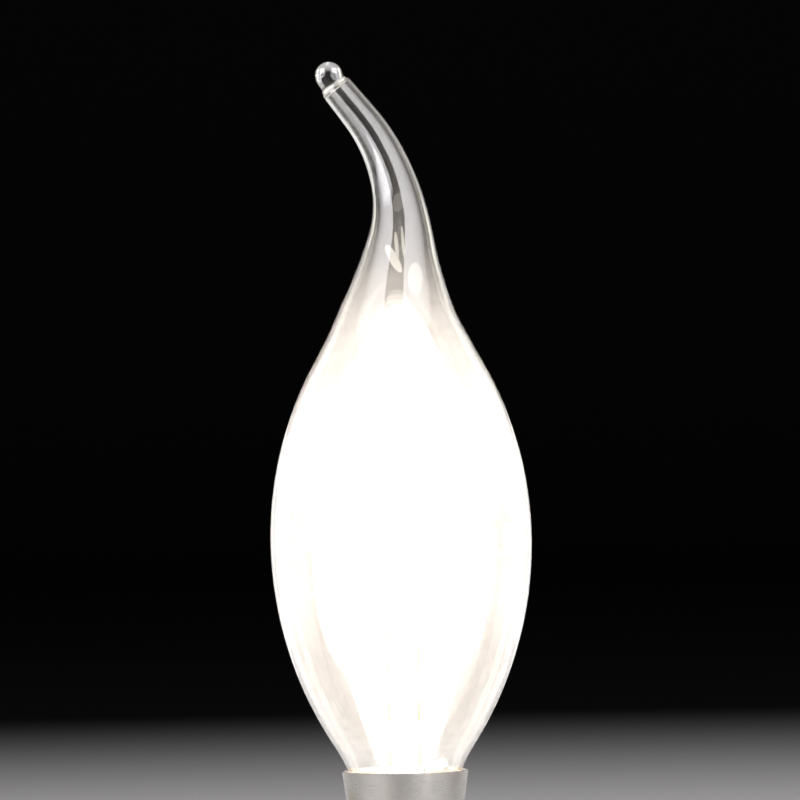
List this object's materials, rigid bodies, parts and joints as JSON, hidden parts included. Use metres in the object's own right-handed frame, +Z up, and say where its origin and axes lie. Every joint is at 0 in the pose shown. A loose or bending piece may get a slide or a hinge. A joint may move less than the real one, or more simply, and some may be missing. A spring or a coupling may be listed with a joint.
{
  "type": "candle bulb",
  "caption": "Clear glass candle bulb with a drawn, bent tip and a small screw cap, lit by a coiled filament that a glass stem carries.",
  "frame": {"origin": "middle of the flat face of the centre contact, the bulb's lowest point", "axes": "+Z up the bulb's axis from the contact to the tip, -X the way the tip bends, +Y away from the picture's viewer"},
  "size_m": [0.035, 0.035, 0.12],
  "materials": {
    "clear_glass": "clear and fire polished",
    "copper_clad_wire": "drawn, borated red",
    "nickel_wire": "drawn and bright",
    "copper_wire": "drawn and bright",
    "glowing_tungsten": "white hot coil",
    "molybdenum_wire": "drawn and dull",
    "plated_brass": "nickel plated, satin",
    "black_glass": "pressed opaque glass, glossy",
    "bare_brass": "stamped",
    "tin_solder": "dull and frosted",
    "cement": "matte"
  },
  "bodies": {
    "root": {"glass_envelope": "clear_glass", "glass_stem": "clear_glass", "seal_wire_left": "copper_clad_wire", "seal_wire_right": "copper_clad_wire", "inner_lead_left": "nickel_wire", "inner_lead_right": "nickel_wire", "outer_lead_contact": "copper_wire", "outer_lead_shell": "copper_wire", "filament": "glowing_tungsten", "filament_support_left": "molybdenum_wire", "filament_support_middle": "molybdenum_wire", "filament_support_right": "molybdenum_wire", "cap_shell": "plated_brass", "cap_insulator": "black_glass", "contact_plate": "bare_brass", "contact_solder": "tin_solder", "rim_solder": "tin_solder", "basing_cement": "cement"}
  },
  "joints": []
}
